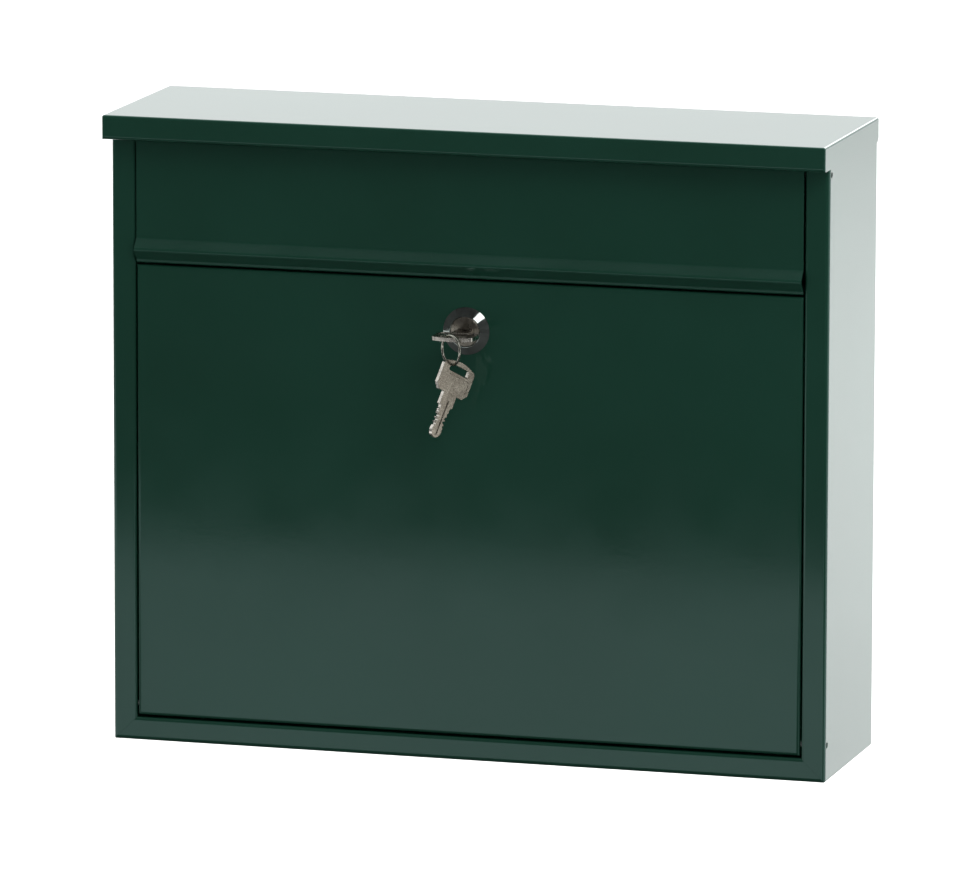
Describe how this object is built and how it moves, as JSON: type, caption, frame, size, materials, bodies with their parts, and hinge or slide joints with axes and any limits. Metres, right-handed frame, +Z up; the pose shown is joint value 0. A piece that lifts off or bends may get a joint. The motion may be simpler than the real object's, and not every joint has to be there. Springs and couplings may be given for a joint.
{
  "type": "wall mounted mailbox",
  "caption": "Flat sheet metal wall mailbox with an overhanging roof tray, a hinged mail flap above a drop-down door, and a cam lock with keys on a ring.",
  "frame": {"origin": "centre of the four wall holes, on the back panel's wall face", "axes": "+X to the viewer's right across the front, +Y into the wall, +Z up"},
  "size_m": [0.3616, 0.1296, 0.311],
  "materials": {
    "green_paint": "glossy powder coat",
    "zinc_steel": "zinc plated",
    "dark_steel": "black oxide",
    "lock_chrome": "polished",
    "plug_metal": "satin",
    "nut_metal": "zinc plated",
    "wafer_brass": "stamped",
    "spring_steel": "drawn wire",
    "key_nickel": "nickel plated, worn",
    "ring_steel": "nickel plated"
  },
  "bodies": {
    "housing": {"side_panel_left": "green_paint", "side_panel_right": "green_paint", "back_panel": "green_paint", "bottom_pan": "green_paint", "roof": "green_paint", "cross_rail": "green_paint", "flap_hinge_rod": "dark_steel", "door_pin_left": "zinc_steel", "door_pin_right": "zinc_steel"},
    "flap": {"mail_flap": "green_paint"},
    "door": {"door": "green_paint", "lock_housing": "lock_chrome", "lock_washer": "zinc_steel", "lock_nut": "nut_metal"},
    "lock_core": {"lock_plug": "plug_metal", "lock_wafers": "wafer_brass", "wafer_springs": "spring_steel", "cam_stop_washer": "zinc_steel", "lock_cam": "zinc_steel", "cam_screw": "zinc_steel"},
    "key": {"key": "key_nickel"},
    "key_ring": {"key_ring": "ring_steel"},
    "spare_key": {"spare_key": "key_nickel"}
  },
  "joints": [
    {"name": "flap_hinge", "type": "hinge", "parent": "housing", "child": "flap", "pos_m": [0, -0.0882, 0.1405], "axis": [-1, 0, 0], "range_deg": [0, 75]},
    {"name": "door_hinge", "type": "hinge", "parent": "housing", "child": "door", "pos_m": [0, -0.0883, -0.1368], "axis": [1, 0, 0], "range_deg": [0, 110]},
    {"name": "lock_turn", "type": "hinge", "parent": "door", "child": "lock_core", "pos_m": [0, -0.092, 0.057], "axis": [0, -1, 0], "range_deg": [0, 90]},
    {"name": "key_pull", "type": "slide", "parent": "lock_core", "child": "key", "axis": [0, -1, 0], "range_m": [0, 0.03]},
    {"name": "ring_swing", "type": "hinge", "parent": "key", "child": "key_ring", "pos_m": [0, -0.11825, 0.0575], "axis": [0.788, -0.6157, 0], "range_deg": [-8, 8]},
    {"name": "spare_swing", "type": "hinge", "parent": "key_ring", "child": "spare_key", "pos_m": [0, -0.11825, 0.04472], "axis": [0.8387, -0.5446, 0], "range_deg": [-30, 30]}
  ]
}
